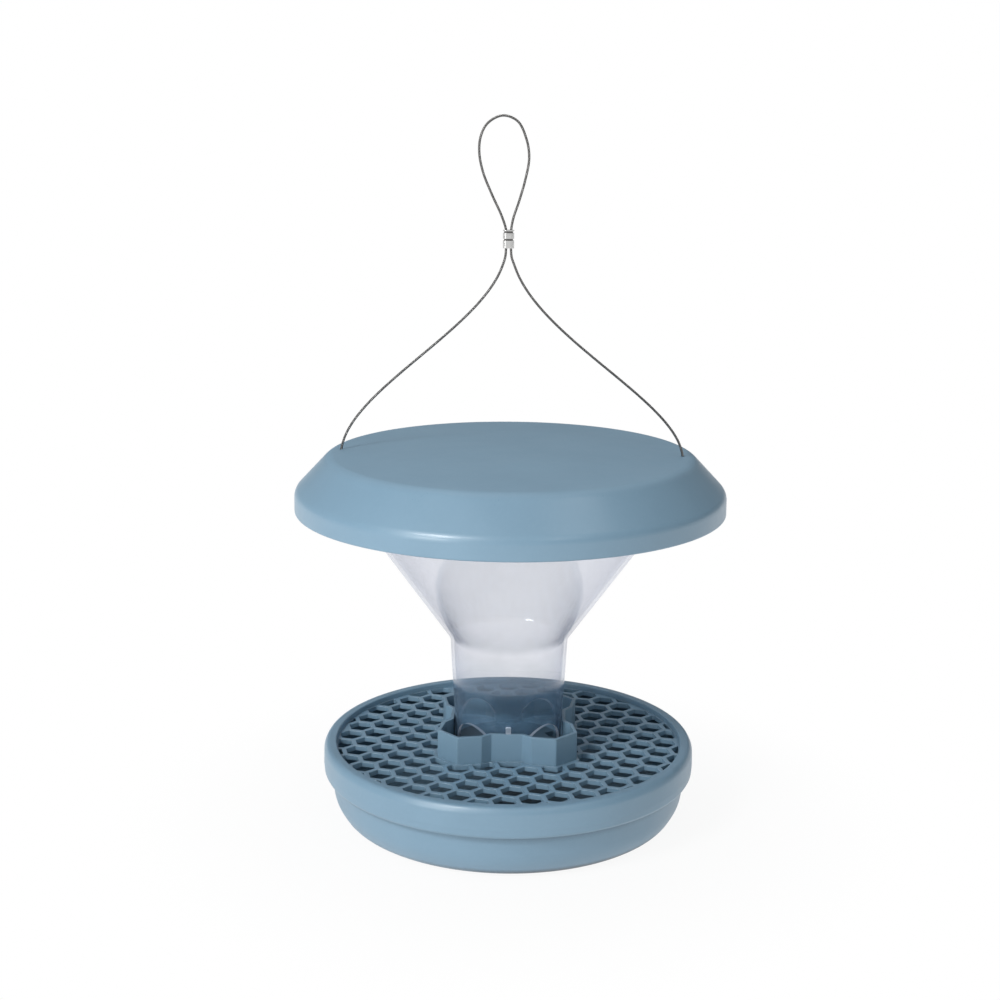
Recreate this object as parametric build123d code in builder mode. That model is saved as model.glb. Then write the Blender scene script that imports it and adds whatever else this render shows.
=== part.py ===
from build123d import *
import math
import os

# Hanging gravity bird feeder.  Millimetres, +Z up; angles in degrees from +X.
# Origin: centre of the catch bowl's foot, on the surface the bowl stands on.
# The two rope holes in the roof lie on the X axis, at +-ROPE_X.

# overall
RIM_Z = 48.5              # top of the tray's rim above the foot
ROPE_R = 0.75
ROPE_BORE_R = ROPE_R + 0.01
ROPE_X = 105.3            # the rope passes ears and roof at +-this

# catch bowl
BOWL_WALL = 2.2
BOWL_TOP = RIM_Z - 2.65   # lip that slides up inside the tray's rim
BOWL_R_TOP = 113.9
BOWL_R_SKIRT = 113.0      # outside radius where the bowl leaves the skirt
BOWL_R_BELLY = 110.4
BELLY_Z = 12.2            # belly corner, outside
BELLY_IN_Z = 13.1         # belly corner, inside
BELLY_ROUND = 21.0        # rounding between the belly and the upright wall
FOOT_R = 103.3            # outside radius of the foot before rounding
FOOT_IN_SETBACK = 1.4     # inside foot corner, in from FOOT_R
FOOT_ROUND = 12.0         # rounding between the foot and the belly
FOOT_FLAT_R = FOOT_R - 10  # start of the drawn outside wall, on the flat foot
FOOT_RING_IN = 88.0
FOOT_RING_BEVEL = 2.0
FOOT_RECESS = 1.4

# seed tray: rim and grate
TRAY_R_MAX = 117.3
TRAY_SKIRT_Z = RIM_Z - 18.7
TRAY_R_IN = 109.3         # inner edge of the rim
LIP_R = 1.0               # rounding of that edge
GRATE_TOP = RIM_Z - 3.5
GRATE_T = 3.0
GRATE_UNDER = GRATE_TOP - GRATE_T
GRATE_R = 109.0
COMB_R = 108.5            # the openings stop here, at the grate's upright wall
CELL_PITCH = 16.1         # honeycomb pitch
CELL_WEB = 2.8            # honeycomb wall
CELL_R = (CELL_PITCH - CELL_WEB) / math.sqrt(3)   # corner radius of one opening
CELL_ANGLE = 16.75        # direction of one row of cells
CELL_SEED = (15.1, -51.0)  # centre of one cell
CELL_RANGE = (26.0, 114.0)  # cell centres lie between these radii
MIN_OPENING = 14.0        # clipped openings no larger than this area stay closed

# seed tray: collar and the floor inside it
COLLAR_TOP = RIM_Z + 14.2
COLLAR_WALL = 2.0
COLLAR_ROUND = 1.6
COLLAR_MARGIN = 1.035     # the grate stays closed inside the outline at this scale
COLLAR_TURN = 2.0         # the collar sits this far round from the rope holes
# one quarter of the collar's outer outline, x and y, walked from +Y towards +X
COLLAR_QUARTER = [
    (9.5, 36.3), (15.3, 40.9), (30.5, 43.6), (43.2, 30.5), (40.8, 15.3), (36.3, 9.5),
]
TWIST = 25.0              # locking twist of the hopper
TONGUE_HALF = 8.0         # half angle of one locking foot
SLOT_HALF = TONGUE_HALF + 1.0
# outer radius, inner radius and start offset of the two parts of each slot
SLOT_PARTS = [
    (33.5, 30.8, 0),      # long arc
    (31.5, 27.4, TWIST),  # short pocket on its inner side, at one end
]

# hopper
HOPPER_FOOT_Z = GRATE_TOP + 0.1
THROAT_R_LOW = 33.15      # outside radius at the floor
THROAT_R_HIGH = 36.98     # outside radius where the cone begins
THROAT_KNEE_Z = RIM_Z + 66.8
CONE_TOP_Z = RIM_Z + 156.0
HOPPER_R = 100.5          # outside radius of the upright rim
HOPPER_TOP = RIM_Z + 170.0
HOPPER_T = 2.0
HOPPER_KNEE_RISE = 0.9    # inside corners sit this much above the outside ones
HOPPER_ROUND_OUT = 9.0
HOPPER_ROUND_IN = 8.0
ARCH_BASE_Z = HOPPER_FOOT_Z - 0.5
ARCH_APEX = RIM_Z + 16.0
ARCH_HALF_W = 17.0
ARCH_REACH = 45.0
ARCH_TURN = 3.5           # arches sit this far round from the diagonals
LUG_ANGLE = -86.5         # direction of the stop lug, near -Y
LUG_R = 32.6              # the lug starts here, inside the throat wall
LUG_Z = COLLAR_TOP + 2.15
LUG_W, LUG_H, LUG_L = 3.4, 4.0, 3.6
LUG_ROUND = 0.8
TONGUE_LOW = GRATE_TOP - 6.4
# inner radius, outer radius and top of the two parts of each locking foot
TONGUE_PARTS = [
    (31.1, 33.1, GRATE_TOP + 2.5),      # tongue through the floor
    (27.8, 31.6, GRATE_UNDER - 0.25),   # hook turned inwards, below the floor
]

# rope ears on the hopper
EAR_TOP = RIM_Z + 163.0
EAR_T = 3.0
EAR_UNDER = EAR_TOP - EAR_T
EAR_L = 6.8               # straight part, inwards from the rope hole
EAR_END_R = 5.5
EAR_HOLE_R = 1.3
WEB_T = 1.6
WEB_FACES_Y = (-3.8, 3.8)  # +Y face of each web
# x (mirrored for the ear at -X) and z of a web's corners
WEB_OUTLINE = [(99.6, EAR_TOP + 5.0), (106.0, EAR_TOP - 0.5), (99.6, EAR_TOP - 0.5)]

# roof
ROOF_R = 265.6 / 2
ROOF_T = 2.4
CROWN_SLOPE = 4.0         # slope of the crown where the shoulder begins
SHOULDER_R = 112.4        # where the crown and the flank would meet
SHOULDER_Z = RIM_Z + 183.8
SHOULDER_ROUND = 9.5
FLANK_R = ROOF_R - 0.1    # where the flank meets the upright edge
FLANK_ROUND = 7.5
ROOF_PEAK = SHOULDER_Z + SHOULDER_R * math.tan(math.radians(CROWN_SLOPE))
ROOF_EDGE = RIM_Z + 149.9
ROOF_HOLE_R = 1.1
# radius and z of the corners, from the axis out to the edge
ROOF_OUTER = [
    (0, ROOF_PEAK), (SHOULDER_R, SHOULDER_Z),
    (FLANK_R, RIM_Z + 162.2), (ROOF_R, ROOF_EDGE + 1.0),
]
ROOF_INNER = [
    (0, ROOF_PEAK - ROOF_T), (SHOULDER_R - 1.1, SHOULDER_Z - ROOF_T + 0.08),
    (FLANK_R - ROOF_T, RIM_Z + 161.2), (ROOF_R - ROOF_T, ROOF_EDGE),
]
RING_R_IN, RING_R_OUT = 96.0, 98.0   # locating ring
RING_TOP = SHOULDER_Z - 0.4          # inside the thickness of the crown
RIB_COUNT = 8
RIB_HALF_T = 1.0
# radius and z of a rib's corners
RIB_OUTLINE = [
    (97.4, HOPPER_TOP + 0.05), (103.5, HOPPER_TOP + 0.05), (108.0, SHOULDER_Z - 6.0),
    (108.0, SHOULDER_Z - 1.0), (97.4, RING_TOP),
]

# ferrule and stops
FERRULE_Z = RIM_Z + 309.0  # underside
FERRULE_H = 10.8
FERRULE_X = -2.5
FERRULE_W = 6.8
FERRULE_D = 4.6
# underside above FERRULE_Z, and height, of each crimp groove
FERRULE_GROOVES = [(4.55, 1.1), (9.0, 1.15)]
GROOVE_DEPTH = 0.7
STRAND_LEFT = FERRULE_X - 1.45   # x of the two strands inside the ferrule
STRAND_RIGHT = FERRULE_X + 1.45
STOP_R = 2.3
STOP_H = 8.0
STOP_ROUND = 0.4
STOP_Z = EAR_UNDER - STOP_H - 0.05
TAIL_Z = EAR_UNDER - STOP_H - 1.1
PIVOT_Z = RIM_Z + 184.0   # the legs start here, just above the roof
LEG_END_Z = FERRULE_Z - 0.1

# rope centre lines in the XZ plane, x and z; left is -X
LEG_LEFT = [
    (-ROPE_X, PIVOT_Z), (-104.58, 235.5), (-102.96, 240.5), (-99.99, 246.5), (-95.3, 253.5),
    (-88.59, 261.5), (-79.7, 270.5), (-68.68, 280.5), (-55.85, 291.5), (-43.02, 302.5),
    (-30.94, 313.5), (-21.19, 323.5), (-13.89, 332.5), (-8.87, 340.5), (-5.82, 347.5),
    (-4.35, 352.5), (STRAND_LEFT, LEG_END_Z),
]
LEG_RIGHT = [
    (ROPE_X, PIVOT_Z), (104.67, 235.5), (102.92, 240.5), (99.57, 246.5), (94.21, 253.5),
    (86.56, 261.5), (76.56, 270.5), (64.43, 280.5), (50.7, 291.5), (37.39, 302.5),
    (25.25, 313.5), (15.76, 323.5), (8.79, 332.5), (4.04, 340.5), (1.08, 347.5),
    (-0.62, 352.5), (STRAND_RIGHT, LEG_END_Z),
]
LOOP_BEND_Z = 368.0       # the strands are straight up to here
LOOP = [
    (STRAND_LEFT, LOOP_BEND_Z), (-6.6, 376.2), (-12.8, 389.4), (-18.0, 402.0),
    (-20.3, 413.5), (-19.4, 423.0), (-15.2, 430.6), (-6.4, 434.9), (2.4, 431.6), (7.7, 421.0),
    (9.3, 410.5), (7.2, 398.0), (3.5, 385.0), (0.2, 375.0), (STRAND_RIGHT, LOOP_BEND_Z),
]


def polar(radius, angle):
    return (radius * math.cos(math.radians(angle)), radius * math.sin(math.radians(angle)))


def radial_plane(radius, angle, z):
    """Upright plane facing outwards, its x running round the axis and its y up."""
    return Plane(origin=(*polar(radius, angle), z), x_dir=(*polar(1, angle + 90), 0),
                 z_dir=(*polar(1, angle), 0))


# The draw_ functions add edges to the BuildLine that is open where they are called.

def draw_crown(edge):
    """Shallow dome from the axis out to edge, reaching CROWN_SLOPE there; returns its top."""
    radius = edge.X / math.sin(math.radians(CROWN_SLOPE))
    top = edge.Y + radius * (1 - math.cos(math.radians(CROWN_SLOPE)))
    mid_x = edge.X / 2
    mid_y = top - radius + math.sqrt(radius * radius - mid_x * mid_x)
    ThreePointArc((0, top), (mid_x, mid_y), edge)
    return (0, top)


def draw_rounded(points, radii, crowned=False):
    """Straight runs through the points, with a tangent arc at each inner corner.

    If crowned, the first run is a dome instead.  Returns the start of the path.
    """
    start = run_start = points[0]
    for i, radius in enumerate(radii):
        before, corner, after = (Vector(*point) for point in points[i:i + 3])
        to_before = (before - corner).normalized()
        to_after = (after - corner).normalized()
        half_angle = math.acos(to_before.dot(to_after)) / 2
        trim = radius / math.tan(half_angle)
        arc_start = corner + to_before * trim
        arc_end = corner + to_after * trim
        bisector = (to_before + to_after).normalized()
        arc_mid = corner + bisector * (radius / math.sin(half_angle) - radius)
        if crowned and i == 0:
            start = draw_crown(arc_start)
        else:
            Line(run_start, arc_start)
        ThreePointArc(arc_start, arc_mid, arc_end)
        run_start = arc_end
    Line(run_start, points[-1])
    return start


def draw_ring_sector(r_out, r_in, start, end):
    CenterArc((0, 0), r_out, start, end - start)
    Line(polar(r_out, end), polar(r_in, end))
    CenterArc((0, 0), r_in, start, end - start)
    Line(polar(r_out, start), polar(r_in, start))


def save(builder, name):
    builder.part.label = name
    export_step(builder.part, f"parts/{name}.step")


def make_catch_bowl():
    """Shallow round dish, a push fit up into the tray's skirt, on a narrow foot ring."""
    inner_floor = FOOT_RECESS + BOWL_WALL
    skirt_out = (BOWL_R_SKIRT, TRAY_SKIRT_Z)
    skirt_in = (BOWL_R_SKIRT - BOWL_WALL, TRAY_SKIRT_Z)
    with BuildPart() as bowl:
        with BuildSketch(Plane.XZ):
            with BuildLine():
                Polyline(
                    (0, FOOT_RECESS), (FOOT_RING_IN - FOOT_RING_BEVEL, FOOT_RECESS),
                    (FOOT_RING_IN, 0), (FOOT_FLAT_R, 0),
                )
                draw_rounded(
                    [(FOOT_FLAT_R, 0), (FOOT_R, 0), (BOWL_R_BELLY, BELLY_Z), skirt_out],
                    (FOOT_ROUND, BELLY_ROUND),
                )
                Polyline(
                    skirt_out, (BOWL_R_TOP, BOWL_TOP), (BOWL_R_TOP - BOWL_WALL, BOWL_TOP), skirt_in
                )
                draw_rounded(
                    [skirt_in, (BOWL_R_BELLY - BOWL_WALL, BELLY_IN_Z),
                     (FOOT_R - FOOT_IN_SETBACK, inner_floor), (0, inner_floor)],
                    (BELLY_ROUND - BOWL_WALL, FOOT_ROUND - BOWL_WALL),
                )
                Line((0, inner_floor), (0, FOOT_RECESS))
            make_face()
        revolve(axis=Axis.Z)
    save(bowl, "catch_bowl")


def collar_outline():
    points = []
    for quarter in range(4):
        cos_turn, sin_turn = polar(1, COLLAR_TURN - 90 * quarter)
        for x, y in COLLAR_QUARTER:
            points.append((x * cos_turn - y * sin_turn, x * sin_turn + y * cos_turn))
    return points


def cell_centres():
    """Honeycomb cell centres between the collar's foot and the rim."""
    row_a = polar(CELL_PITCH, CELL_ANGLE)
    row_b = polar(CELL_PITCH, CELL_ANGLE + 60)
    centres = []
    for i in range(-20, 21):
        for j in range(-20, 21):
            x = CELL_SEED[0] + i * row_a[0] + j * row_b[0]
            y = CELL_SEED[1] + i * row_a[1] + j * row_b[1]
            if CELL_RANGE[0] < math.hypot(x, y) < CELL_RANGE[1]:
                centres.append((x, y))
    return centres


def make_grate_tray():
    """Rounded rim with a skirt, honeycomb grate, petal collar round a slotted floor."""
    collar = collar_outline()
    rim_foot = (TRAY_R_IN - 0.3, GRATE_TOP)
    lip_low = (TRAY_R_IN, RIM_Z - LIP_R)
    lip_mid = (TRAY_R_IN + 0.293 * LIP_R, RIM_Z - 0.293 * LIP_R)
    lip_top = (TRAY_R_IN + LIP_R, RIM_Z)
    rim_top = (113.0, RIM_Z)
    rim_side = (117.2, RIM_Z - 7.5)
    with BuildPart() as tray:
        # rim, skirt and the upright wall that carries the grate
        with BuildSketch(Plane.XZ):
            with BuildLine():
                Line(rim_foot, lip_low)
                ThreePointArc(lip_low, lip_mid, lip_top)
                Line(lip_top, rim_top)
                Spline(
                    rim_top, (115.4, RIM_Z - 0.9), (116.7, RIM_Z - 3.2), rim_side,
                    tangents=[(1, 0), (0.04, -1)],
                )
                Polyline(
                    rim_side, (TRAY_R_MAX, RIM_Z - 13.5), (117.0, RIM_Z - 17.4),
                    (116.3, TRAY_SKIRT_Z), (114.4, TRAY_SKIRT_Z), (114.7, RIM_Z - 6.0),
                    (114.1, RIM_Z - 2.6), (110.8, RIM_Z - 2.6), (110.5, GRATE_UNDER),
                    (COMB_R, GRATE_UNDER), (COMB_R, GRATE_TOP), rim_foot,
                )
            make_face()
        revolve(axis=Axis.Z)
        # grate plate
        with BuildSketch(Plane.XY.offset(GRATE_UNDER)):
            Circle(GRATE_R)
        extrude(amount=GRATE_T)
        # honeycomb openings between the rim and the collar's foot
        with BuildSketch(Plane.XY.offset(GRATE_UNDER), mode=Mode.PRIVATE) as comb:
            with Locations(*cell_centres()):
                RegularPolygon(radius=CELL_R, side_count=6, rotation=CELL_ANGLE + 30)
            Circle(COMB_R, mode=Mode.INTERSECT)
            with BuildLine(mode=Mode.PRIVATE) as guard:
                Polyline(*[(x * COLLAR_MARGIN, y * COLLAR_MARGIN) for x, y in collar], close=True)
            make_face(guard.edges(), mode=Mode.SUBTRACT)
        openings = [face for face in comb.sketch.faces() if face.area > MIN_OPENING]
        extrude(openings, amount=GRATE_T, mode=Mode.SUBTRACT)
        # petal collar
        with BuildSketch(Plane.XY.offset(GRATE_TOP)) as petal:
            with BuildLine():
                Polyline(*collar, close=True)
            make_face()
            fillet(petal.vertices(), radius=COLLAR_ROUND)
            offset(amount=-COLLAR_WALL, mode=Mode.SUBTRACT)
        extrude(amount=COLLAR_TOP - GRATE_TOP)
        # slots in the floor for the four locking feet
        for k in range(4):
            end = 90 * k + TWIST + SLOT_HALF
            with BuildSketch(Plane.XY.offset(GRATE_UNDER)):
                for r_out, r_in, start_offset in SLOT_PARTS:
                    with BuildLine():
                        draw_ring_sector(r_out, r_in, 90 * k + start_offset - SLOT_HALF, end)
                    make_face()
            extrude(amount=GRATE_T, mode=Mode.SUBTRACT)
    save(tray, "grate_tray")


def make_hopper():
    """Funnel with an upright rim, arched throat, locking feet, stop lug and rope ears."""
    foot_out = (THROAT_R_LOW, HOPPER_FOOT_Z)
    foot_in = (THROAT_R_LOW - HOPPER_T, HOPPER_FOOT_Z)
    rim_out = (HOPPER_R, HOPPER_TOP)
    rim_in = (HOPPER_R - HOPPER_T, HOPPER_TOP)
    with BuildPart() as hopper:
        with BuildSketch(Plane.XZ):
            with BuildLine():
                FilletPolyline(
                    foot_out, (THROAT_R_HIGH, THROAT_KNEE_Z), (HOPPER_R, CONE_TOP_Z), rim_out,
                    radius=HOPPER_ROUND_OUT,
                )
                Line(rim_out, rim_in)
                FilletPolyline(
                    rim_in, (HOPPER_R - HOPPER_T, CONE_TOP_Z + HOPPER_KNEE_RISE),
                    (THROAT_R_HIGH - HOPPER_T, THROAT_KNEE_Z + HOPPER_KNEE_RISE), foot_in,
                    radius=HOPPER_ROUND_IN,
                )
                Line(foot_in, foot_out)
            make_face()
        revolve(axis=Axis.Z)
        # arched openings near the diagonals
        for k in range(4):
            with BuildSketch(radial_plane(0, 45 + 90 * k + ARCH_TURN, ARCH_BASE_Z)):
                Ellipse(ARCH_HALF_W, ARCH_APEX - ARCH_BASE_Z)
            extrude(amount=ARCH_REACH, mode=Mode.SUBTRACT)
        # locking feet
        for k in range(4):
            for r_in, r_out, top in TONGUE_PARTS:
                with BuildSketch(Plane.XY.offset(TONGUE_LOW)):
                    with BuildLine():
                        draw_ring_sector(r_out, r_in, 90 * k - TONGUE_HALF, 90 * k + TONGUE_HALF)
                    make_face()
                extrude(amount=top - TONGUE_LOW)
        # one stop lug, just above the collar
        with BuildSketch(radial_plane(LUG_R, LUG_ANGLE, LUG_Z)):
            RectangleRounded(LUG_W, LUG_H, LUG_ROUND)
        extrude(amount=LUG_L)
        # rope ears with a rounded end and two webs against the rim
        for side in (-1, 1):
            with BuildSketch(Plane.XY.offset(EAR_UNDER)):
                with Locations((side * (ROPE_X - EAR_L / 2), 0)):
                    Rectangle(EAR_L, 2 * EAR_END_R)
                with Locations((side * ROPE_X, 0)):
                    Circle(EAR_END_R)
            extrude(amount=EAR_T)
            with BuildSketch(Plane.XY.offset(EAR_UNDER)):
                with Locations((side * ROPE_X, 0)):
                    Circle(EAR_HOLE_R)
            extrude(amount=EAR_T, mode=Mode.SUBTRACT)
            for face_y in WEB_FACES_Y:
                # Plane.XZ faces -Y, so its offset is -y
                with BuildSketch(Plane.XZ.offset(-face_y)):
                    with BuildLine():
                        Polyline(*[(side * x, z) for x, z in WEB_OUTLINE], close=True)
                    make_face()
                extrude(amount=WEB_T)
    save(hopper, "hopper")


def make_roof():
    """Moulded dish: shallow crown, rounded shoulder, sloping flank, short upright edge."""
    edge_in = (ROOF_R - 1.0, ROOF_EDGE)
    with BuildPart() as roof:
        with BuildSketch(Plane.XZ):
            with BuildLine():
                top = draw_rounded(ROOF_OUTER, (SHOULDER_ROUND, FLANK_ROUND), crowned=True)
                ThreePointArc(ROOF_OUTER[-1], (ROOF_R - 0.3, ROOF_EDGE + 0.3), edge_in)
                Line(edge_in, ROOF_INNER[-1])
                under = draw_rounded(
                    ROOF_INNER, (SHOULDER_ROUND - ROOF_T, FLANK_ROUND - ROOF_T), crowned=True
                )
                Line(under, top)
            make_face()
        revolve(axis=Axis.Z)
        # locating ring inside the hopper's rim
        with BuildSketch(Plane.XZ):
            with BuildLine():
                Polyline(
                    (RING_R_IN, HOPPER_TOP - 6.0), (RING_R_OUT, HOPPER_TOP - 6.0),
                    (RING_R_OUT, RING_TOP), (RING_R_IN, RING_TOP), close=True,
                )
            make_face()
        revolve(axis=Axis.Z)
        # ribs over the hopper's rim
        for k in range(RIB_COUNT):
            angle = (k + 0.5) * 360 / RIB_COUNT
            rib_plane = Plane(origin=(0, 0, 0), x_dir=(*polar(1, angle), 0),
                              z_dir=(*polar(1, angle - 90), 0))
            with BuildSketch(rib_plane):
                with BuildLine():
                    Polyline(*RIB_OUTLINE, close=True)
                make_face()
            extrude(amount=RIB_HALF_T, both=True)
        # rope holes
        with BuildSketch(Plane.XY.offset(HOPPER_TOP + 2)):
            with Locations((-ROPE_X, 0), (ROPE_X, 0)):
                Circle(ROOF_HOLE_R)
        extrude(amount=20.0, mode=Mode.SUBTRACT)
    save(roof, "roof")


def make_cable_leg(name, stations):
    """Rope from the roof up to the ferrule, with a round lower end."""
    with BuildPart() as leg:
        with BuildLine() as path:
            Spline(*[(x, 0, z) for x, z in stations])
        with BuildSketch(Plane(origin=path.line @ 0, z_dir=path.line % 0)):
            Circle(ROPE_R)
        sweep(path=path.line)
        with Locations((stations[0][0], 0, stations[0][1])):
            Sphere(ROPE_R)
    save(leg, name)


def make_cable_loop():
    """Hanging loop, with both strands running down through the ferrule."""
    with BuildPart() as loop:
        with BuildLine() as path:
            Line((STRAND_LEFT, 0, FERRULE_Z), (STRAND_LEFT, 0, LOOP_BEND_Z))
            Spline(*[(x, 0, z) for x, z in LOOP], tangents=[(0, 0, 1), (0, 0, -1)])
            Line((STRAND_RIGHT, 0, LOOP_BEND_Z), (STRAND_RIGHT, 0, FERRULE_Z))
        with BuildSketch(Plane(origin=(STRAND_LEFT, 0, FERRULE_Z), z_dir=(0, 0, 1))):
            Circle(ROPE_R)
        sweep(path=path.wire())
    save(loop, "cable_loop")


def make_loop_ferrule():
    """Squeezed double sleeve with two crimp grooves."""
    with BuildPart() as ferrule:
        with BuildSketch(Plane.XY.offset(FERRULE_Z)):
            with Locations((FERRULE_X, 0)):
                SlotOverall(FERRULE_W, FERRULE_D)
        extrude(amount=FERRULE_H)
        for groove_z, groove_h in FERRULE_GROOVES:
            with BuildSketch(Plane.XY.offset(FERRULE_Z + groove_z)):
                with Locations((FERRULE_X, 0)):
                    Rectangle(FERRULE_W + 2, FERRULE_D + 2)
                    SlotOverall(
                        FERRULE_W - 2 * GROOVE_DEPTH, FERRULE_D - 2 * GROOVE_DEPTH,
                        mode=Mode.SUBTRACT,
                    )
            extrude(amount=groove_h, mode=Mode.SUBTRACT)
        with BuildSketch(Plane.XY.offset(FERRULE_Z)):
            with Locations((STRAND_LEFT, 0), (STRAND_RIGHT, 0)):
                Circle(ROPE_BORE_R)
        extrude(amount=FERRULE_H, mode=Mode.SUBTRACT)
    save(ferrule, "loop_ferrule")


def make_cable_tail(name, x):
    """Upright rope through the ear and the roof, ending just below its leg."""
    with BuildPart() as tail:
        with BuildSketch(Plane.XY.offset(TAIL_Z)):
            with Locations((x, 0)):
                Circle(ROPE_R)
        extrude(amount=PIVOT_Z - ROPE_R - 0.1 - TAIL_Z)
    save(tail, name)


def make_cable_stops():
    """Two identical crimped stops under the ears."""
    with BuildPart() as stops:
        with BuildSketch(Plane.XY.offset(STOP_Z)):
            with Locations((-ROPE_X, 0), (ROPE_X, 0)):
                Circle(STOP_R)
        extrude(amount=STOP_H)
        fillet(stops.edges().filter_by(GeomType.CIRCLE), radius=STOP_ROUND)
        with BuildSketch(Plane.XY.offset(STOP_Z)):
            with Locations((-ROPE_X, 0), (ROPE_X, 0)):
                Circle(ROPE_BORE_R)
        extrude(amount=STOP_H, mode=Mode.SUBTRACT)
    save(stops, "cable_stops")


os.makedirs("parts", exist_ok=True)
make_catch_bowl()
make_grate_tray()
make_hopper()
make_roof()
make_cable_leg("cable_leg_left", LEG_LEFT)
make_cable_leg("cable_leg_right", LEG_RIGHT)
make_cable_loop()
make_loop_ferrule()
make_cable_tail("cable_tail_left", -ROPE_X)
make_cable_tail("cable_tail_right", ROPE_X)
make_cable_stops()
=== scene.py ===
"""A hanging feeder: blue roof, tray and catch bowl, clear hopper and a twisted steel rope hanger.

It stands on the floor round the Z axis, +Z up, with its rope holes on the X axis.
The viewer is on the -Y side. Rope and CAD heights are in mm; shaders, lights and camera in metres.
"""
import bpy, bmesh, math
from mathutils import Vector, Matrix


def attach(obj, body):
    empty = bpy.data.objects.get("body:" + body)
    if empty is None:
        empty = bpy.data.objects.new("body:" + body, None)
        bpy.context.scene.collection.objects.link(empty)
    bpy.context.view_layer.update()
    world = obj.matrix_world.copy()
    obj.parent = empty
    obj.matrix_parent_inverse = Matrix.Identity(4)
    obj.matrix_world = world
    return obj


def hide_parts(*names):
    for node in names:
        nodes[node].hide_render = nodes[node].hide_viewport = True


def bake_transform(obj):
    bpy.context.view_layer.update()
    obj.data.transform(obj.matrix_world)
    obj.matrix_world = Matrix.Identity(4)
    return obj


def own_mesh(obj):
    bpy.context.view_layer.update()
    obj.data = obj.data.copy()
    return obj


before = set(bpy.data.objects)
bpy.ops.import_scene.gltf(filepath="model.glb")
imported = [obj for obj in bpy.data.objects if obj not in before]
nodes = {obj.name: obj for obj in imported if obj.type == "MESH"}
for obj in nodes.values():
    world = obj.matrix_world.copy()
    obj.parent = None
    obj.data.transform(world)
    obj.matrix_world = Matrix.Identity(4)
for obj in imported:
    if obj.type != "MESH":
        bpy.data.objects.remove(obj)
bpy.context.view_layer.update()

MM = 0.001
RIM_Z = 48.5                # height that the other heights are counted from
PIVOT_Z = RIM_Z + 184.0     # where the rope legs start, at the roof
FERRULE_Z = RIM_Z + 309.0   # lower end of the loop ferrule
BLUE = (0.200, 0.335, 0.448)

# Rope build, mm
ROPE_RADIUS = 0.75
STRANDS = 6
LAY_LENGTH = 7.5            # length in which a strand makes one turn
PATH_STEP = 0.45            # spacing of points along the rope
CURVE_STEPS = 24            # curve samples between two stations

# Rope layout, mm
HOLE_X = 105.3              # rope holes at +X and -X
FERRULE_LEFT_X = -3.95      # the two rope ends in the ferrule
FERRULE_RIGHT_X = -1.05
TAIL_BOTTOM_Z = RIM_Z + 150.9


# ---------------------------------------------------------------------------
# node trees
# ---------------------------------------------------------------------------


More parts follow.
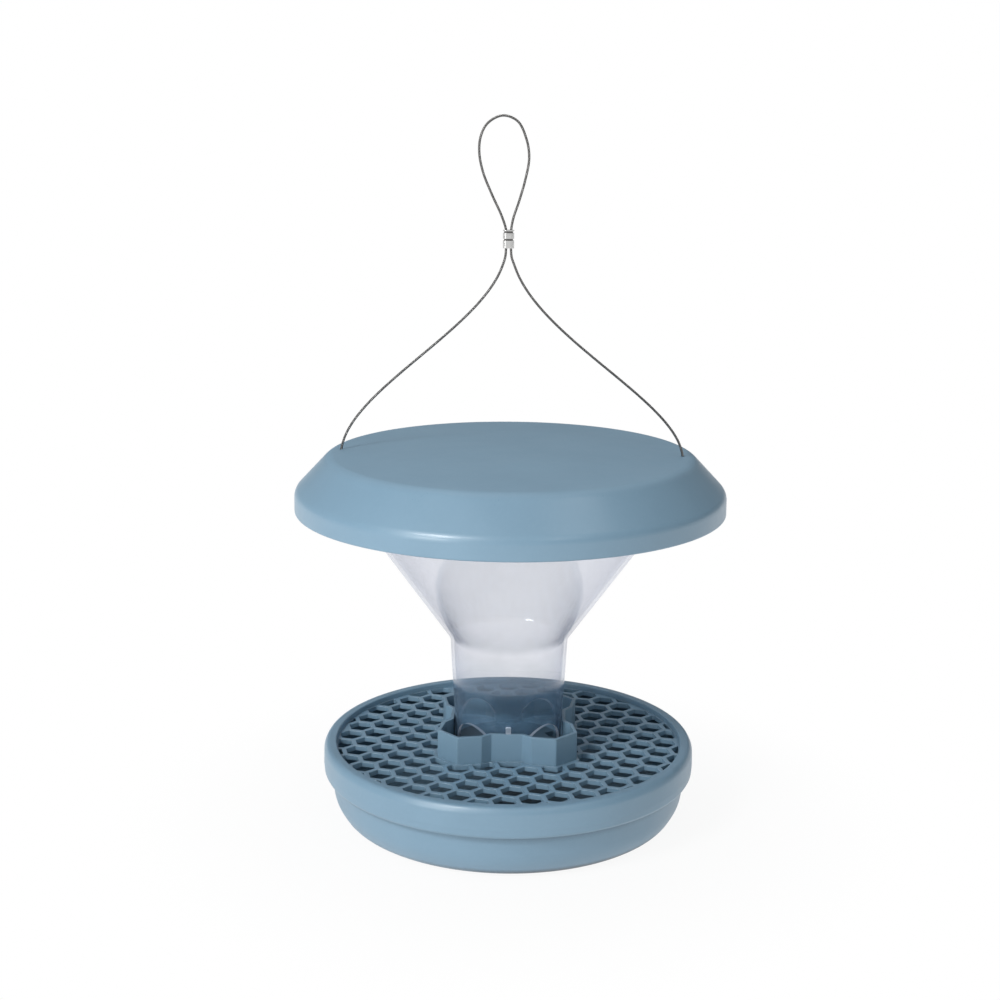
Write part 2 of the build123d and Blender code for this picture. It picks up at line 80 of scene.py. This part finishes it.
class Nodes:
    """Fills a node tree. An input given as a socket is linked, any other value is set."""

    def __init__(self, tree):
        self.tree = tree
        tree.nodes.clear()

    def put(self, socket, value):
        if isinstance(value, bpy.types.NodeSocket):
            self.tree.links.new(value, socket)
        else:
            socket.default_value = value

    def add(self, kind, inputs=None, **settings):
        node = self.tree.nodes.new(kind)
        for key, value in settings.items():
            setattr(node, key, value)
        for key, value in (inputs or {}).items():
            self.put(node.inputs[key], value)
        return node

    def math(self, operation, a, b=0.0, clamp=False):
        inputs = {0: a, 1: b, 2: 0.0}
        return self.add("ShaderNodeMath", inputs, operation=operation, use_clamp=clamp).outputs[0]

    def times(self, a, b, clamp=False):
        return self.math("MULTIPLY", a, b, clamp)

    def vector(self, operation, a, b=None):
        inputs = {0: a} if b is None else {0: a, 1: b}
        node = self.add("ShaderNodeVectorMath", inputs, operation=operation)
        return node.outputs["Value" if operation in ("DOT_PRODUCT", "LENGTH") else "Vector"]

    def remap(self, value, source, target, smooth=False):
        """Maps the source range (low, high) to the target range, clamped."""
        node = self.add("ShaderNodeMapRange", {
            "Value": value,
            "From Min": source[0], "From Max": source[1],
            "To Min": target[0], "To Max": target[1]}, clamp=True)
        if smooth:
            node.interpolation_type = "SMOOTHSTEP"
        return node.outputs["Result"]

    def rise(self, value, start, end, smooth=False):
        """0 below start, 1 above end."""
        return self.remap(value, (start, end), (0.0, 1.0), smooth)

    def fade(self, value, start, end, smooth=False):
        """1 below start, 0 above end."""
        return self.remap(value, (start, end), (1.0, 0.0), smooth)

    def position(self):
        return self.add("ShaderNodeTexCoord").outputs["Object"]

    def split(self, vector):
        return self.add("ShaderNodeSeparateXYZ", {0: vector}).outputs

    def coords(self, scale=(1, 1, 1), rotation=(0, 0, 0)):
        return self.add("ShaderNodeMapping", {
            "Vector": self.position(), "Scale": scale, "Rotation": rotation}).outputs["Vector"]

    def noise(self, coords, scale, detail=2.0, rough=0.5):
        return self.add("ShaderNodeTexNoise", {
            "Vector": coords, "Scale": scale, "Detail": detail, "Roughness": rough}).outputs["Fac"]

    def centred(self, value, gain):
        """The value's departure from 0.5, times the gain."""
        return self.times(self.math("SUBTRACT", value, 0.5), gain)

    def mix_colour(self, factor, a, b):
        return self.add("ShaderNodeMix", {0: factor, 6: a, 7: b}, data_type="RGBA").outputs[2]

    def mix_shader(self, factor, a, b):
        return self.add("ShaderNodeMixShader", {0: factor, 1: a, 2: b}).outputs[0]

    def shader(self, kind, **inputs):
        return self.add(kind, inputs).outputs[0]

    def bump(self, height, strength, distance, normal=None):
        inputs = {"Strength": strength, "Distance": distance, "Height": height}
        if normal is not None:
            inputs["Normal"] = normal
        return self.add("ShaderNodeBump", inputs).outputs["Normal"]

    def bevel(self, radius, samples):
        return self.add("ShaderNodeBevel", {"Radius": radius}, samples=samples).outputs["Normal"]

    def openness(self, distance, only_local=False):
        """Ambient occlusion: 1 in the open, 0 where shut in."""
        return self.add("ShaderNodeAmbientOcclusion", {"Distance": distance},
                        samples=4, only_local=only_local).outputs["AO"]

    def facing(self, normal=None):
        """0 seen square on, 1 at grazing view."""
        inputs = {"Blend": 0.5} if normal is None else {"Blend": 0.5, "Normal": normal}
        return self.add("ShaderNodeLayerWeight", inputs).outputs["Facing"]

    def output(self, shader, kind="ShaderNodeOutputMaterial"):
        self.add(kind, {"Surface": shader})


def new_material(name):
    material = bpy.data.materials.new(name)
    material.use_nodes = True
    return material, Nodes(material.node_tree)


# ---------------------------------------------------------------------------
# moulded blue plastic
# ---------------------------------------------------------------------------


def blue(gains, lifts=(0, 0, 0)):
    """The plastic's blue with each channel scaled and lifted."""
    return tuple(base * gain + lift for base, gain, lift in zip(BLUE, gains, lifts)) + (1,)


# colour of the painted shade in hollows and inside the collar
SHADE_BLUE = blue((0.16, 0.22, 0.25))
# colour of the painted shadow in the joint
SEAM_SHADOW_BLUE = blue((0.12, 0.16, 0.18))


def edge_wear_and_highlight(tree, coords, normal, wear_and_highlight_from):
    """Pale edges where the rounded normal leaves the true one, above wear_and_highlight_from if
    given: patchy wear, and where strong, a painted highlight.
    """
    rounded = tree.bevel(radius=0.0009, samples=4)
    wear_and_highlight = tree.fade(tree.vector("DOT_PRODUCT", rounded, normal), 0.74, 0.955)
    patches = tree.noise(coords, scale=90.0, detail=3.0, rough=0.6)
    wear_and_highlight = tree.times(wear_and_highlight, tree.remap(patches, (0.35, 0.65), (0.35, 1.0)))
    if wear_and_highlight_from is not None:
        height = tree.split(tree.position())["Z"]
        wear_and_highlight = tree.times(wear_and_highlight, tree.rise(height, wear_and_highlight_from, wear_and_highlight_from + 0.003))
    return wear_and_highlight


def painted_hollow_shade(tree, normal, amount, reach, inner):
    """Painted shade where little light reaches, found by ambient occlusion; inner keeps it to
    inward or upward faces.
    """
    light = tree.openness(reach)
    if not inner:
        return tree.remap(light, (0.10, 0.75), (amount, 0.0))
    painted_shade = tree.remap(light, (0.35, 1.0), (amount, 0.0))
    plan = tree.vector("MULTIPLY", tree.position(), (1, 1, 0))
    outward = tree.vector("DOT_PRODUCT", tree.vector("NORMALIZE", plan), normal)
    upward = tree.split(normal)["Z"]
    painted_shade = tree.times(painted_shade, tree.fade(outward, 0.0, 0.35))
    return tree.times(painted_shade, tree.rise(upward, -0.5, -0.2))


def painted_well_shade(tree, normal, amount):
    """Painted shade inside the tray's collar, on the wall (more lower down) and on the bed."""
    position = tree.position()
    height = tree.split(position)["Z"]
    plan = tree.vector("MULTIPLY", position, (1, 1, 0))
    radius = tree.vector("LENGTH", plan)
    outward = tree.vector("DOT_PRODUCT", tree.vector("NORMALIZE", plan), normal)
    wall = tree.times(tree.fade(outward, -0.05, 0.15),
                      tree.times(tree.rise(height, 0.0470, 0.0476),
                                 tree.fade(height, 0.0490, 0.0622)))
    bed = tree.times(tree.fade(radius, 0.0345, 0.0360), tree.fade(height, 0.0476, 0.0482))
    return tree.times(tree.math("MAXIMUM", wall, bed),
                      tree.remap(radius, (0.056, 0.058), (amount, 0.0)))


def painted_seam_shadow(tree, amount):
    """Painted shadow in the joint between mouldings, heavier towards +X."""
    light = tree.openness(0.0065)
    uneven = tree.remap(tree.split(tree.position())["X"], (-0.075, 0.035), (0.25, 1.0), smooth=True)
    return tree.times(tree.remap(light, (0.50, 0.95), (amount, 0.0)), uneven)


def moulded(name, rough, edge, seed, soft, cavity=0.0, reach=0.0, inner=False,
            well_shade=0.0, seam_shadow=0.0, wear_and_highlight_from=None, matte_from=None):
    """Satin moulded plastic.

    edge is the strength of the pale edges, wear and, where strong, a painted highlight, and soft
    the radius of the rounded ones;
    cavity, well_shade and seam_shadow are amounts of painted shade, and reach is how far the cavity
    shade spreads.
    wear_and_highlight_from and matte_from are the heights where the pale edges and a duller gloss
    begin.
    """
    material, tree = new_material(name)
    coords = tree.coords(rotation=(0.1 + seed, 0.2, seed))
    cloud = tree.noise(coords, scale=16.0, detail=3.0, rough=0.55)
    grain = tree.noise(coords, scale=420.0)
    speck = tree.noise(coords, scale=1500.0, detail=1.0)

    # faint cloudiness and pigment specks
    colour = tree.mix_colour(tree.rise(cloud, 0.32, 0.68),
                             blue((0.955, 0.96, 0.965)), blue((1.04, 1.035, 1.03)))
    colour = tree.mix_colour(tree.times(tree.rise(grain, 0.45, 0.75), 0.10),
                             colour, blue((1.25, 1.18, 1.14)))
    # pale edges: wear and stress-whitening, and where strong, as on the tray's web tops, also a
    # painted highlight
    normal = tree.add("ShaderNodeNewGeometry").outputs["Normal"]
    wear_and_highlight = edge_wear_and_highlight(tree, coords, normal, wear_and_highlight_from)
    colour = tree.mix_colour(tree.times(wear_and_highlight, edge), colour,
                             blue((1.9, 1.6, 1.45), lifts=(0.06, 0.05, 0.05)))
    # painted shade in hollows, from ambient occlusion
    if cavity > 0:
        painted_shade = painted_hollow_shade(tree, normal, cavity, reach, inner)
        colour = tree.mix_colour(painted_shade, colour, SHADE_BLUE)
    # painted shade inside the tray's collar
    if well_shade > 0:
        colour = tree.mix_colour(painted_well_shade(tree, normal, well_shade), colour, SHADE_BLUE)
    # painted shadow in the joint between mouldings
    if seam_shadow > 0:
        colour = tree.mix_colour(painted_seam_shadow(tree, seam_shadow), colour, SEAM_SHADOW_BLUE)

    # uneven gloss
    smears = tree.noise(coords, scale=34.0, detail=4.0, rough=0.6)
    roughness = tree.math("ADD", tree.remap(smears, (0.3, 0.7), (rough - 0.05, rough + 0.06)),
                          tree.centred(speck, 0.06))
    if matte_from is not None:
        height = tree.split(tree.position())["Z"]
        duller = tree.remap(height, (matte_from, matte_from + 0.0016), (0.0, 0.30), smooth=True)
        roughness = tree.math("ADD", roughness, duller)

    # rounded edges under waviness, grain and specks
    relief = tree.bevel(radius=soft, samples=5)
    waves = tree.noise(coords, scale=40.0)
    relief = tree.bump(waves, strength=0.05, distance=0.0005, normal=relief)
    relief = tree.bump(grain, strength=0.07, distance=0.00008, normal=relief)
    relief = tree.bump(speck, strength=0.10, distance=0.00003, normal=relief)
    tree.output(tree.add("ShaderNodeBsdfPrincipled", {
        "Base Color": colour, "Roughness": roughness, "IOR": 1.47,
        "Specular IOR Level": 0.95, "Normal": relief}).outputs["BSDF"])
    return material


# ---------------------------------------------------------------------------
# clear plastic
# ---------------------------------------------------------------------------

CLEAR_TINT = (0.960, 0.963, 0.976)    # light let through one wall seen square on
KNEE_SHADE = (0.30, 0.27, 0.26, 1)
GLOSS_COLOUR = (0.96, 0.97, 1.0, 1)
HAZE_COLOUR = (0.66, 0.74, 0.84, 1)
# colours of the painted shade low in the throat
THROAT_SHADE_COLOUR = (0.170, 0.335, 0.500, 1)
DEEP_THROAT_SHADE_COLOUR = (0.068, 0.132, 0.212, 1)
# colour of the painted highlights on cut edges and the stop lug
EDGE_HIGHLIGHT_COLOUR = (0.88, 0.90, 0.94, 1)


def clear_wall(tree, facing, depth):
    """Tinted transparency that deepens with the depth of wall looked through."""
    tint = tree.add("ShaderNodeCombineColor", {
        i: tree.math("POWER", level, depth) for i, level in enumerate(CLEAR_TINT)}).outputs[0]
    # painted shade: the thick knee between throat and cone is darkened near its outline
    height = tree.split(tree.position())["Z"]
    knee = tree.times(tree.rise(height, 0.097, 0.110, smooth=True),
                      tree.fade(height, 0.116, 0.142, smooth=True))
    outline = tree.times(tree.math("POWER", facing, 4.5), 0.55)
    colour = tree.mix_colour(tree.times(knee, outline), tint, KNEE_SHADE)
    return tree.shader("ShaderNodeBsdfTransparent", Color=colour)


def add_reflection(tree, wall, scuffs, normal):
    """Lays a reflection over the wall, the same on both of its faces."""
    gloss = tree.add("ShaderNodeBsdfGlossy", {
        "Color": GLOSS_COLOUR, "Normal": normal,
        "Roughness": tree.remap(scuffs, (0.3, 0.8), (0.06, 0.14))}, distribution="GGX")
    grazing = tree.math("POWER", tree.facing(normal), 4.2)
    reflectance = tree.math("ADD", 0.050, tree.times(grazing, 0.80), clamp=True)
    return tree.mix_shader(reflectance, wall, gloss.outputs[0])


def add_haze(tree, surface, coords, depth):
    """Lays a faint dust haze over the surface, stronger at grazing view."""
    diffuse = tree.shader("ShaderNodeBsdfDiffuse", Color=HAZE_COLOUR)
    patches = tree.noise(coords, scale=24.0, detail=4.0, rough=0.6)
    haze = tree.times(tree.remap(patches, (0.35, 0.7), (0.010, 0.030)),
                      tree.times(depth, 0.8), clamp=True)
    return tree.mix_shader(haze, surface, diffuse)


def add_throat_shade(tree, surface, coords, height):
    """Lays a bluish painted shade low in the throat, darker towards the bottom."""
    ragged = tree.noise(coords, scale=45.0, detail=3.0, rough=0.6)
    wavy_height = tree.math("ADD", height, tree.centred(ragged, 0.006))
    low = tree.times(tree.remap(wavy_height, (0.0690, 0.0775), (1.0, 0.30), smooth=True),
                     tree.fade(wavy_height, 0.084, 0.116, smooth=True))
    patches = tree.noise(coords, scale=60.0, detail=4.0, rough=0.6)
    throat_shade = tree.times(low, tree.remap(patches, (0.3, 0.7), (0.20, 0.36)))
    clouds = tree.noise(tree.coords(scale=(1, 1, 0.55)), scale=55.0)
    deeper = tree.math("ADD", tree.fade(height, 0.052, 0.082), tree.centred(clouds, 1.6), clamp=True)
    deeper = tree.times(deeper, tree.fade(height, 0.072, 0.080))
    colour = tree.mix_colour(deeper, THROAT_SHADE_COLOUR, DEEP_THROAT_SHADE_COLOUR)
    return tree.mix_shader(throat_shade, surface, tree.shader("ShaderNodeBsdfDiffuse", Color=colour))


def add_edge_highlights(tree, surface, place):
    """Paints highlights on cut edges, feet and the stop lug: faces that don't look along the
    radius.
    """
    height = place["Z"]
    band = (0.068, 0.070)    # heights over which the edges change strength
    plan = tree.add("ShaderNodeCombineXYZ", {0: place["X"], 1: place["Y"]}).outputs[0]
    normal = tree.add("ShaderNodeNewGeometry").outputs["True Normal"]
    radial = tree.vector("DOT_PRODUCT", tree.vector("NORMALIZE", plan), normal)
    cut = tree.fade(tree.math("ABSOLUTE", radial), 0.35, 0.55)
    cut = tree.times(cut, tree.remap(height, band, (0.50, 0.30)))
    # the painted throat shade in front dulls the painted highlights on the openings on the far
    # side, +Y
    cut = tree.times(cut, tree.math("MAXIMUM",
                                    tree.remap(place["Y"], (-0.010, 0.010), (1.0, 0.40)),
                                    tree.rise(height, *band)))
    # painted highlight on the stop lug, which stands proud of the throat
    lug = tree.times(tree.remap(tree.vector("LENGTH", plan), (0.0348, 0.0352), (0.0, 0.17)),
                     tree.fade(height, 0.069, 0.0695))
    glow = tree.add("ShaderNodeAddShader", {
        0: tree.shader("ShaderNodeBsdfDiffuse", Color=EDGE_HIGHLIGHT_COLOUR),
        1: tree.shader("ShaderNodeBsdfTranslucent", Color=EDGE_HIGHLIGHT_COLOUR)}).outputs[0]
    return tree.mix_shader(tree.math("MAXIMUM", cut, lug), surface, glow)


def clear_plastic(name):
    """Clear plastic as thin walls, with flow ripples, scuffs and dust, painted shade low in the
    throat and painted highlights on cut edges.
    """
    material, tree = new_material(name)
    coords = tree.coords()
    ripples = tree.noise(tree.coords(scale=(1, 1, 0.35)), scale=38.0)
    scuffs = tree.noise(tree.coords(scale=(1, 1, 0.12)), scale=700.0, rough=0.6)
    normal = tree.bump(ripples, strength=0.10, distance=0.0012)
    normal = tree.bump(scuffs, strength=0.03, distance=0.00006, normal=normal)
    facing = tree.facing()
    # path length through the wall, kept finite at the outline
    cosine = tree.math("SUBTRACT", 1.0, facing)
    depth = tree.math("DIVIDE", 1.0, tree.math("ADD", cosine, 0.15))
    surface = clear_wall(tree, facing, depth)
    surface = add_reflection(tree, surface, scuffs, normal)
    surface = add_haze(tree, surface, coords, depth)
    place = tree.split(tree.position())
    surface = add_throat_shade(tree, surface, coords, place["Z"])
    surface = add_edge_highlights(tree, surface, place)
    tree.output(surface)
    return material


# ---------------------------------------------------------------------------
# steel
# ---------------------------------------------------------------------------


def steel(name, base, rough, seed, hollow_shade, reach):
    """Drawn steel: uneven tone and gloss, with an amount of painted shade in hollows within reach.
    """
    material, tree = new_material(name)
    coords = tree.coords(rotation=(seed, 0, 0))
    tone = tree.noise(coords, scale=260.0, detail=3.0, rough=0.6)
    fine = tree.noise(coords, scale=2400.0, rough=0.6)
    # painted shade in the hollows between strands and in the crimp grooves
    painted_shade = tree.remap(tree.openness(reach, only_local=True), (0.70, 0.96), (hollow_shade, 0.0))
    colour = tree.mix_colour(tree.rise(tone, 0.3, 0.7),
                             tuple(c * 0.82 for c in base) + (1,), base + (1,))
    colour = tree.mix_colour(painted_shade, colour, (0.035, 0.032, 0.030, 1))
    tree.output(tree.add("ShaderNodeBsdfPrincipled", {
        "Base Color": colour, "Metallic": 1.0,
        "Roughness": tree.remap(fine, (0.3, 0.7), (rough - 0.07, rough + 0.08)),
        "Normal": tree.bump(fine, strength=0.25, distance=0.00003)}).outputs[0])
    return material


# the tray's strong pale edges are partly a painted highlight; the cavity, well and seam amounts are
# painted shade
roof_plastic = moulded("roof_plastic", rough=0.335, edge=0.10, seed=0.0, soft=0.0004,
                       matte_from=0.2304)
tray_plastic = moulded("tray_plastic", rough=0.38, edge=0.42, seed=0.7, soft=0.0006,
                       cavity=0.85, reach=0.010, well_shade=0.80, wear_and_highlight_from=0.041)
bowl_plastic = moulded("bowl_plastic", rough=0.42, edge=0.12, seed=1.3, soft=0.0005,
                       cavity=0.95, reach=0.060, inner=True, seam_shadow=0.95)
hopper_plastic = clear_plastic("clear_plastic")
rope_steel = steel("rope_steel", base=(0.27, 0.265, 0.26), rough=0.36, seed=0.2,
                   hollow_shade=0.95, reach=0.0006)
crimp_metal = steel("crimp_metal", base=(0.74, 0.74, 0.73), rough=0.22, seed=0.9,
                    hollow_shade=0.97, reach=0.0012)

for piece, material in (("roof", roof_plastic), ("grate_tray", tray_plastic),
                        ("catch_bowl", bowl_plastic), ("hopper", hopper_plastic),
                        ("loop_ferrule", crimp_metal), ("cable_stops", crimp_metal)):
    slots = nodes[piece].data.materials
    slots.clear()
    slots.append(material)


# ---------------------------------------------------------------------------
# twisted steel rope
# ---------------------------------------------------------------------------


def add_object(name, data):
    obj = bpy.data.objects.new(name, data)
    bpy.context.scene.collection.objects.link(obj)
    return obj


def between(a, b, time_a, time_b, time):
    """The point at a time on the line that passes a and b at theirs."""
    span = time_b - time_a
    return a * ((time_b - time) / span) + b * ((time - time_a) / span)


def curve_points(stations):
    """Centripetal Catmull-Rom curve through the stations."""
    ends = [stations[0] * 2 - stations[1]], [stations[-1] * 2 - stations[-2]]
    knots = ends[0] + stations + ends[1]
    dense = []
    for a, b, c, d in zip(knots, knots[1:], knots[2:], knots[3:]):
        t0 = 0.0
        t1 = t0 + max((b - a).length, 1e-6) ** 0.5
        t2 = t1 + max((c - b).length, 1e-6) ** 0.5
        t3 = t2 + max((d - c).length, 1e-6) ** 0.5
        for k in range(CURVE_STEPS):
            t = t1 + (t2 - t1) * k / CURVE_STEPS
            ab = between(a, b, t0, t1, t)
            bc = between(b, c, t1, t2, t)
            cd = between(c, d, t2, t3, t)
            dense.append(between(between(ab, bc, t0, t2, t), between(bc, cd, t1, t3, t), t1, t2, t))
    dense.append(stations[-1])
    return dense


def even_path(dense, step):
    """Resamples a line at an even step and keeps its last point."""
    path = [dense[0]]
    carry = 0.0
    for a, b in zip(dense[:-1], dense[1:]):
        length = (b - a).length
        along = step - carry
        while along <= length:
            path.append(a.lerp(b, along / length))
            along += step
        carry = (carry + length) % step
    if (path[-1] - dense[-1]).length > step * 0.3:
        path.append(dense[-1])
    else:
        path[-1] = dense[-1]
    return path


def path_frames(path):
    """Tangents and untwisted normals along a path that doesn't start along Y."""
    last = len(path) - 1
    tangents = [(path[min(last, i + 1)] - path[max(0, i - 1)]).normalized()
                for i in range(len(path))]
    side = Vector((0, 1, 0))
    normals = [(side - tangents[0] * side.dot(tangents[0])).normalized()]
    for before, tangent in zip(tangents, tangents[1:]):
        normal = before.rotation_difference(tangent) @ normals[-1]
        normals.append((normal - tangent * normal.dot(tangent)).normalized())
    return tangents, normals


def around(centre, tangent, normal, angle, radius):
    """A point on the circle round the tangent."""
    side = tangent.cross(normal)
    return centre + (normal * math.cos(angle) + side * math.sin(angle)) * radius


def add_tube(bm, path, radius, sides):
    """A capped tube with smooth walls."""
    rings = [[bm.verts.new(around(point, tangent, normal, 2 * math.pi * k / sides, radius))
              for k in range(sides)]
             for point, tangent, normal in zip(path, *path_frames(path))]
    for lower, upper in zip(rings[:-1], rings[1:]):
        for k in range(sides):
            after = (k + 1) % sides
            bm.faces.new((lower[k], lower[after], upper[after], upper[k])).smooth = True
    bm.faces.new(list(reversed(rings[0])))
    bm.faces.new(rings[-1])


def rope(piece, stations, phase):
    """Strands laid round a core, in place of a CAD piece; stations are (x, z) in mm."""
    path = even_path(curve_points([Vector((x, 0, z)) for x, z in stations]), PATH_STEP)
    tangents, normals = path_frames(path)
    distances = [0.0]
    for a, b in zip(path[:-1], path[1:]):
        distances.append(distances[-1] + (b - a).length)
    strand_radius = ROPE_RADIUS / 3.0
    lay_radius = ROPE_RADIUS - strand_radius
    bm = bmesh.new()
    for k in range(STRANDS):
        line = []
        for point, tangent, normal, distance in zip(path, tangents, normals, distances):
            angle = phase + 2 * math.pi * (k / STRANDS + distance / LAY_LENGTH)
            line.append(around(point, tangent, normal, angle, lay_radius) * MM)
        # slightly thick, so that neighbours touch
        add_tube(bm, line, strand_radius * 1.03 * MM, sides=8)
    # the core takes every second point, and always the last
    core = path[::2] + ([path[-1]] if len(path) % 2 == 0 else [])
    add_tube(bm, [point * MM for point in core], strand_radius * MM, sides=6)
    name = piece + "_strands"
    mesh = bpy.data.meshes.new(name)
    bm.to_mesh(mesh)
    bm.free()
    obj = add_object(name, mesh)
    mesh.materials.append(rope_steel)
    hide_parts(piece)
    return obj


# Stations of the legs from roof to ferrule, mm: z, left leg x, right leg x
LEGS = [
    (PIVOT_Z, -HOLE_X, HOLE_X),
    (235.5, -104.58, 104.67), (240.5, -102.96, 102.92), (246.5, -99.99, 99.57),
    (253.5, -95.3, 94.21), (261.5, -88.59, 86.56), (270.5, -79.7, 76.56),
    (280.5, -68.68, 64.43), (291.5, -55.85, 50.7), (302.5, -43.02, 37.39),
    (313.5, -30.94, 25.25), (323.5, -21.19, 15.76), (332.5, -13.89, 8.79),
    (340.5, -8.87, 4.04), (347.5, -5.82, 1.08), (352.5, -4.35, -0.62),
    (FERRULE_Z + 0.2, FERRULE_LEFT_X, FERRULE_RIGHT_X),
]
# Stations of the loop, up its left side and down its right, mm: x, z
LOOP = [
    (FERRULE_LEFT_X, FERRULE_Z + 0.4), (FERRULE_LEFT_X, 363.0), (-4.0, 368.0), (-6.6, 376.2),
    (-12.8, 389.4), (-18.0, 402.0), (-20.3, 413.5), (-19.4, 423.0), (-15.2, 430.6),
    (-6.4, 434.9), (2.4, 431.6), (7.7, 421.0), (9.3, 410.5), (7.2, 398.0), (3.5, 385.0),
    (0.2, 375.0), (-1.0, 368.0), (FERRULE_RIGHT_X, 363.0), (FERRULE_RIGHT_X, FERRULE_Z + 0.4),
]
TAIL_HEIGHTS = (TAIL_BOTTOM_Z, TAIL_BOTTOM_Z + 10, TAIL_BOTTOM_Z + 20, PIVOT_Z + 0.1)
# Sides of the rope: name, column in LEGS, direction along X, turn of the strands in radians
SIDES = (("left", 1, -1, 0.3), ("right", 2, 1, 1.1))

for side, column, _, phase in SIDES:
    leg = rope("cable_leg_" + side, [(row[column], row[0]) for row in LEGS], phase)
    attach(leg, "hanger_cable")
    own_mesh(leg)

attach(rope("cable_loop", LOOP, phase=0.6), "hanger_loop")

for side, _, direction, phase in SIDES:
    tail_x = direction * HOLE_X
    tail = rope("cable_tail_" + side, [(tail_x, z) for z in TAIL_HEIGHTS], phase)
    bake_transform(tail)


# ---------------------------------------------------------------------------
# floor and world
# ---------------------------------------------------------------------------

FLOOR_HALF = 12.0
FLOOR_Z = -0.0002


def floor_material():
    """Pale floor whose glow differs for camera, glossy and other rays, and grows outwards."""
    material, tree = new_material("pale_floor")
    diffuse = tree.shader("ShaderNodeBsdfDiffuse", Color=(0.96, 0.96, 0.96, 1))
    glow = tree.shader("ShaderNodeEmission", Color=(1, 1, 1, 1), Strength=1.0)
    distance = tree.vector("LENGTH", tree.add("ShaderNodeNewGeometry").outputs["Position"])
    rays = tree.add("ShaderNodeLightPath").outputs
    camera_ray, glossy_ray = rays["Is Camera Ray"], rays["Is Glossy Ray"]
    other_glow = tree.remap(distance, (0.13, 0.50), (0.24, 0.62), smooth=True)
    camera_glow = tree.remap(distance, (0.11, 0.27), (0.92, 1.0), smooth=True)
    other_ray = tree.math("SUBTRACT", tree.math("SUBTRACT", 1.0, camera_ray), glossy_ray,
                          clamp=True)
    share = tree.math("ADD", tree.times(other_glow, other_ray), tree.times(0.95, glossy_ray))
    share = tree.math("ADD", share, tree.times(camera_glow, camera_ray))
    tree.output(tree.mix_shader(share, diffuse, glow))
    return material


def build_floor():
    material = floor_material()
    mesh = bpy.data.meshes.new("floor")
    bm = bmesh.new()
    bm.faces.new([bm.verts.new((x * FLOOR_HALF, y * FLOOR_HALF, FLOOR_Z))
                  for x, y in ((-1, -1), (1, -1), (1, 1), (-1, 1))])
    bm.to_mesh(mesh)
    bm.free()
    floor = add_object("floor", mesh)
    mesh.materials.append(material)


def build_world():
    """White to the camera; to other rays a soft light, dimmer behind and at both sides."""
    world = bpy.data.worlds.new("studio")
    bpy.context.scene.world = world
    world.use_nodes = True
    tree = Nodes(world.node_tree)
    camera_ray = tree.add("ShaderNodeLightPath").outputs["Is Camera Ray"]
    direction = tree.split(tree.add("ShaderNodeTexCoord").outputs["Generated"])
    overhead = tree.remap(direction["Z"], (0.15, 0.9), (1.0, 1.04), smooth=True)
    behind = tree.remap(direction["Y"], (0.2, 0.95), (1.0, 0.52), smooth=True)
    right = tree.remap(direction["X"], (0.0, 0.85), (1.0, 0.38), smooth=True)
    left = tree.remap(direction["X"], (-0.95, -0.2), (0.66, 1.0), smooth=True)
    level = tree.times(tree.times(overhead, behind), tree.times(right, left))
    soft = tree.shader("ShaderNodeBackground", Color=(0.97, 0.985, 1.0, 1),
                       Strength=tree.times(level, 0.515))
    white = tree.shader("ShaderNodeBackground", Color=(1, 1, 1, 1), Strength=1.0)
    tree.output(tree.mix_shader(camera_ray, soft, white), "ShaderNodeOutputWorld")


build_floor()
build_world()


# ---------------------------------------------------------------------------
# lights and camera
# ---------------------------------------------------------------------------

YAW = math.radians(3.75)           # the rope holes are turned this far from square to the viewer
LIGHT_TARGET = Vector((0, 0, 0.18))
CAMERA_PITCH = 0.22556             # radians down from level
CAMERA_ROLL = 0.00775              # radians
CAMERA_X = -6.402                  # mm, square to the viewer
CAMERA_ABOVE_RIM = 383.813         # mm
CAMERA_DISTANCE = 1.0              # metres from the feeder's axis, towards the viewer


def turned(x, y, z):
    """A direction or place given square to the viewer, turned into the feeder's frame."""
    return Vector((x * math.cos(YAW) - y * math.sin(YAW),
                   x * math.sin(YAW) + y * math.cos(YAW), z))


def softbox(name, azimuth, elevation, distance, size, power):
    """Area light aimed at the feeder; azimuth 0 is the viewer's side, negative is left."""
    light = bpy.data.lights.new(name, "AREA")
    light.shape = "RECTANGLE"
    light.size, light.size_y = size
    light.energy = power
    obj = add_object(name, light)
    around_z, up = math.radians(azimuth), math.radians(elevation)
    outward = turned(math.sin(around_z) * math.cos(up), -math.cos(around_z) * math.cos(up),
                     math.sin(up))
    obj.location = LIGHT_TARGET + outward * distance
    obj.rotation_euler = (-outward).to_track_quat("-Z", "Y").to_euler()


def build_camera():
    data = bpy.data.cameras.new("view")
    data.sensor_fit = "HORIZONTAL"
    data.sensor_width = 36.0
    data.lens = 59.62932
    data.clip_start, data.clip_end = 0.05, 60.0
    camera = add_object("view", data)
    forward = turned(0, math.cos(CAMERA_PITCH), -math.sin(CAMERA_PITCH))
    level_up = turned(0, math.sin(CAMERA_PITCH), math.cos(CAMERA_PITCH))
    level_right = forward.cross(level_up)
    right = level_right * math.cos(CAMERA_ROLL) + level_up * math.sin(CAMERA_ROLL)
    up = level_up * math.cos(CAMERA_ROLL) - level_right * math.sin(CAMERA_ROLL)
    matrix = Matrix((right, up, -forward)).transposed().to_4x4()
    matrix.translation = turned(CAMERA_X * MM, -CAMERA_DISTANCE, (CAMERA_ABOVE_RIM + RIM_Z) * MM)
    camera.matrix_world = matrix
    bpy.context.scene.camera = camera


# name, azimuth and elevation in degrees, distance and size in metres, power in watts
for light_row in (
    ("key", -41, 37.5, 1.7, (0.42, 0.25), 11.4),
    ("side", 58, 60, 1.9, (0.50, 0.50), 1.3),
    ("above_behind", 180, 62, 2.0, (1.30, 1.30), 3.7),
    ("low_left", -42, 13, 1.7, (0.46, 0.38), 6.0),
    ("glint", 28, 38, 1.7, (0.13, 0.13), 0.8),
):
    softbox(*light_row)
build_camera()
bpy.context.scene.view_settings.view_transform = "Standard"
